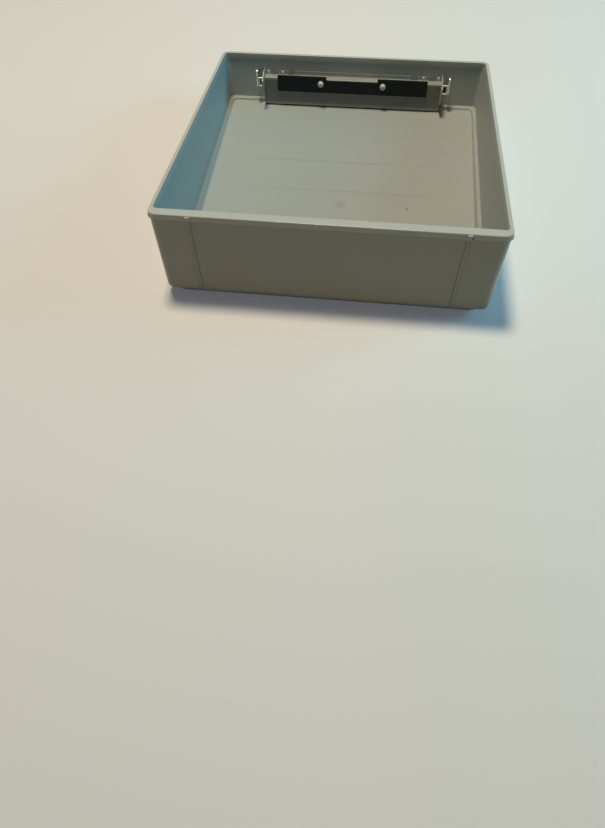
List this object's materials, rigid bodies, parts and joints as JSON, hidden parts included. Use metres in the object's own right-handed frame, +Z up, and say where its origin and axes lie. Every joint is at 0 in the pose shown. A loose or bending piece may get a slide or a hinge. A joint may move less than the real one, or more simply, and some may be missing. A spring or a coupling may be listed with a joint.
{
  "type": "typewriter case cover",
  "caption": "Wedge-shaped moulded typewriter case cover with an inner latch bracket, two sprung latch bolts with finger buttons and a folding handle.",
  "frame": {"origin": "middle of the flat top panel that the case lies on, on its outside", "axes": "+Y from the tall wall to the low wall with the latch and handle, +Z up out of the open case"},
  "size_m": [0.31, 0.3497, 0.0912],
  "materials": {
    "shell_plastic": "satin moulded, pale grey green",
    "bracket_paint": "grey enamel",
    "plate_paint": "black enamel",
    "screw_steel": "bright steel",
    "rivet_steel": "plain steel",
    "bolt_nickel": "nickel plated",
    "spring_steel": "drawn wire",
    "handle_plastic": "black moulded, fine grain",
    "button_nickel": "plated moulding",
    "bail_steel": "nickel plated steel",
    "hook_zinc": "zinc plated steel"
  },
  "bodies": {
    "cover": {"cover_shell": "shell_plastic", "latch_bracket": "bracket_paint", "end_plate_left": "bracket_paint", "end_plate_right": "bracket_paint", "cover_plate": "plate_paint", "cover_plate_screws": "screw_steel", "spacer_sleeves": "rivet_steel", "bracket_rivets": "rivet_steel", "end_plate_rivets": "rivet_steel", "guide_rivets": "rivet_steel", "latch_spring_left": "spring_steel", "latch_spring_right": "spring_steel", "handle_base": "handle_plastic", "pivot_pins": "bail_steel", "pivot_washers": "rivet_steel", "hook_tongue_left": "hook_zinc", "hook_tongue_right": "hook_zinc", "hook_tongue_screws": "screw_steel"},
    "handle": {"handle_bail": "bail_steel", "handle_grip": "handle_plastic"},
    "latch_left": {"latch_bolt_left": "bolt_nickel", "finger_button_left": "button_nickel", "button_screw_left": "screw_steel"},
    "latch_right": {"latch_bolt_right": "bolt_nickel", "finger_button_right": "button_nickel", "button_screw_right": "screw_steel"}
  },
  "joints": [
    {"name": "handle_hinge", "type": "hinge", "parent": "cover", "child": "handle", "pos_m": [0, 0.18018, 0.0328], "axis": [1, 0, 0], "range_deg": [-9, 91.5]},
    {"name": "left_latch_slide", "type": "slide", "parent": "cover", "child": "latch_left", "axis": [1, 0, 0], "range_m": [0, 0.006], "stiffness_N_per_m": 400, "springref_m": -0.006, "deforming": ["latch_spring_left"]},
    {"name": "right_latch_slide", "type": "slide", "parent": "cover", "child": "latch_right", "axis": [-1, 0, 0], "range_m": [0, 0.006], "stiffness_N_per_m": 400, "springref_m": -0.006, "deforming": ["latch_spring_right"]}
  ]
}
